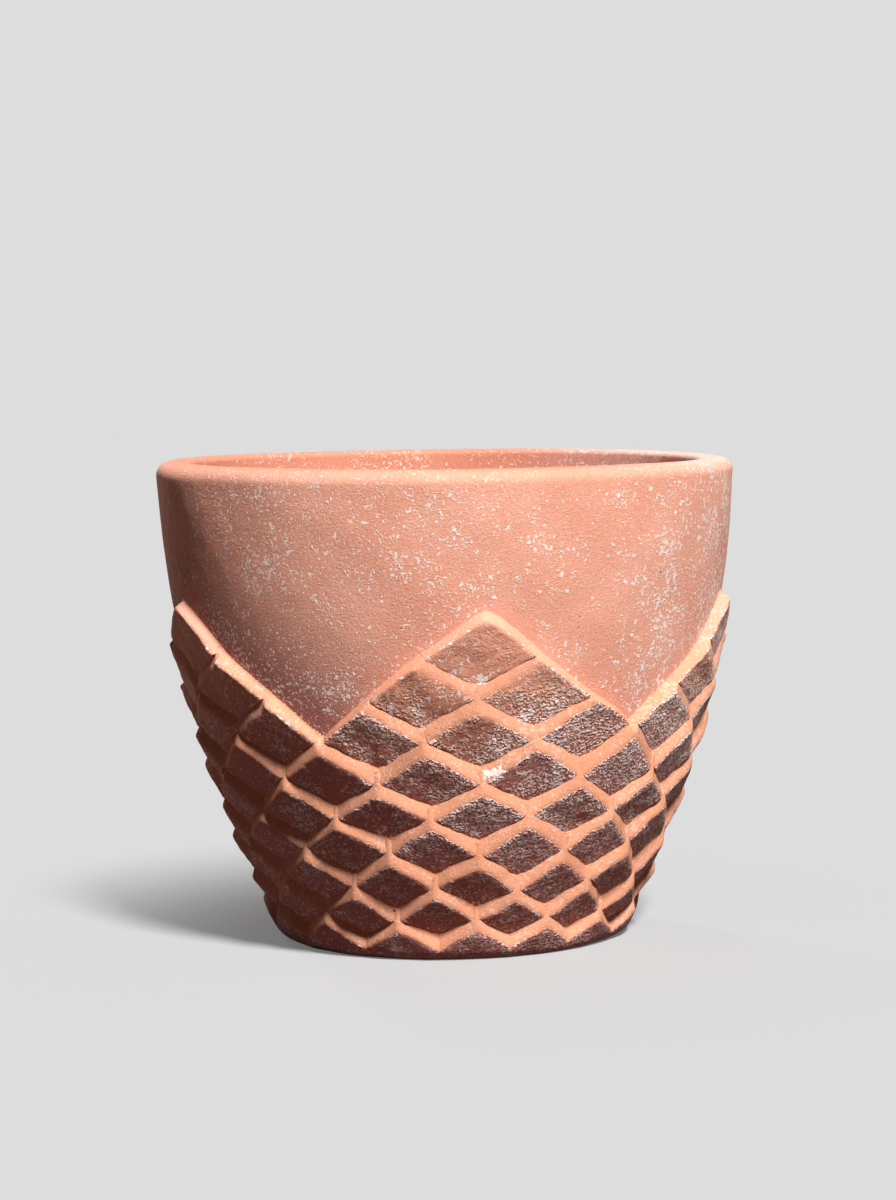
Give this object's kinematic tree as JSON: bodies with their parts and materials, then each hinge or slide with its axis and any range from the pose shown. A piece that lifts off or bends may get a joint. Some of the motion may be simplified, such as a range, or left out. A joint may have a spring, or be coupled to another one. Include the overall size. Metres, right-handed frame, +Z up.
{
  "type": "cachepot",
  "caption": "Round terracotta cachepot with a thick rounded rim, a smooth upper wall and rows of pointed scales over its lower half, for holding a potted plant.",
  "frame": {"origin": "middle of the underside, on the floor", "axes": "+Z up along the pot's axis, -Y towards the viewer through the middle of one peak of scales, +X right"},
  "size_m": [0.48, 0.48, 0.396],
  "materials": {
    "terracotta": "bare fired clay, matt, with pale lime specks"
  },
  "bodies": {
    "root": {"base_slab": "terracotta", "wall": "terracotta", "rim_roll": "terracotta", "corner_coil": "terracotta", "foot_band": "terracotta", "scale_row_1": "terracotta", "scale_row_2": "terracotta", "scale_row_3": "terracotta", "scale_row_4": "terracotta", "scale_row_5": "terracotta", "scale_row_6": "terracotta", "scale_row_7": "terracotta", "scale_row_8": "terracotta"}
  },
  "joints": []
}
